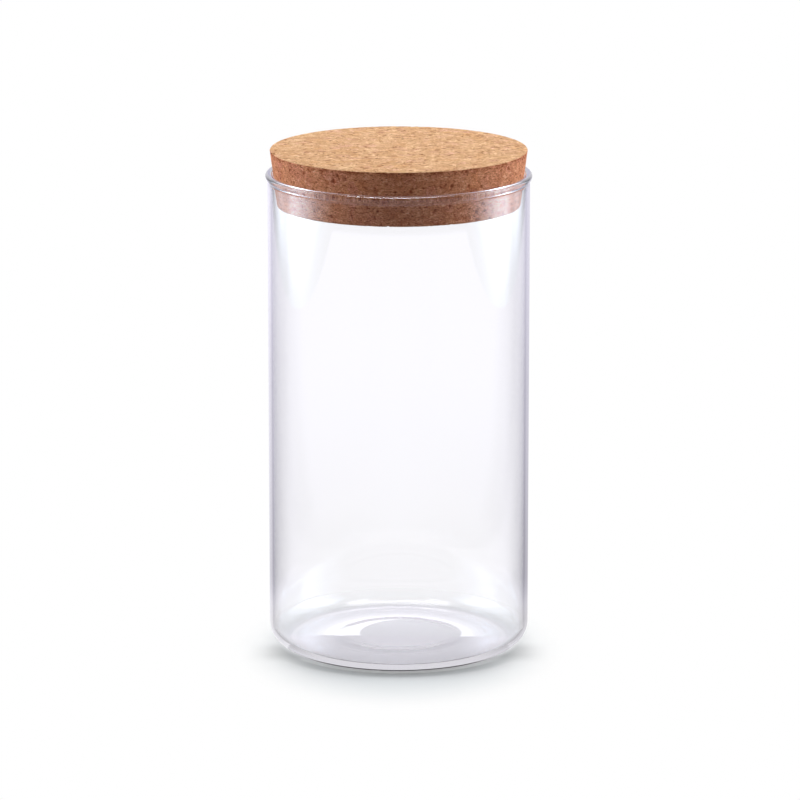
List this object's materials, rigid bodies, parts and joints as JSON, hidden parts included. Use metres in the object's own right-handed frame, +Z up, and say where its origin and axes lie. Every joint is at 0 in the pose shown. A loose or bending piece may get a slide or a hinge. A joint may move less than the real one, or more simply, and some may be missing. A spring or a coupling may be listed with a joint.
{
  "type": "glass jar with cork lid",
  "caption": "Tall round storage jar of clear glass with a rolled lip, closed by a thick tapered cork lid that lifts off.",
  "frame": {"origin": "centre of the ring under the jar, on the plane that the jar stands on", "axes": "+Z up along the jar's axis; the jar is round, so +X and +Y are any two level directions, and the picture looks along +Y"},
  "size_m": [0.1118, 0.1118, 0.2129],
  "materials": {
    "clear_glass": "polished",
    "cork": "matte"
  },
  "bodies": {
    "jar": {"glass_jar": "clear_glass"},
    "lid": {"cork_lid": "cork"}
  },
  "joints": [
    {"name": "lid_lift", "type": "slide", "parent": "jar", "child": "lid", "axis": [0, 0, 1], "range_m": [0, 0.13]}
  ]
}
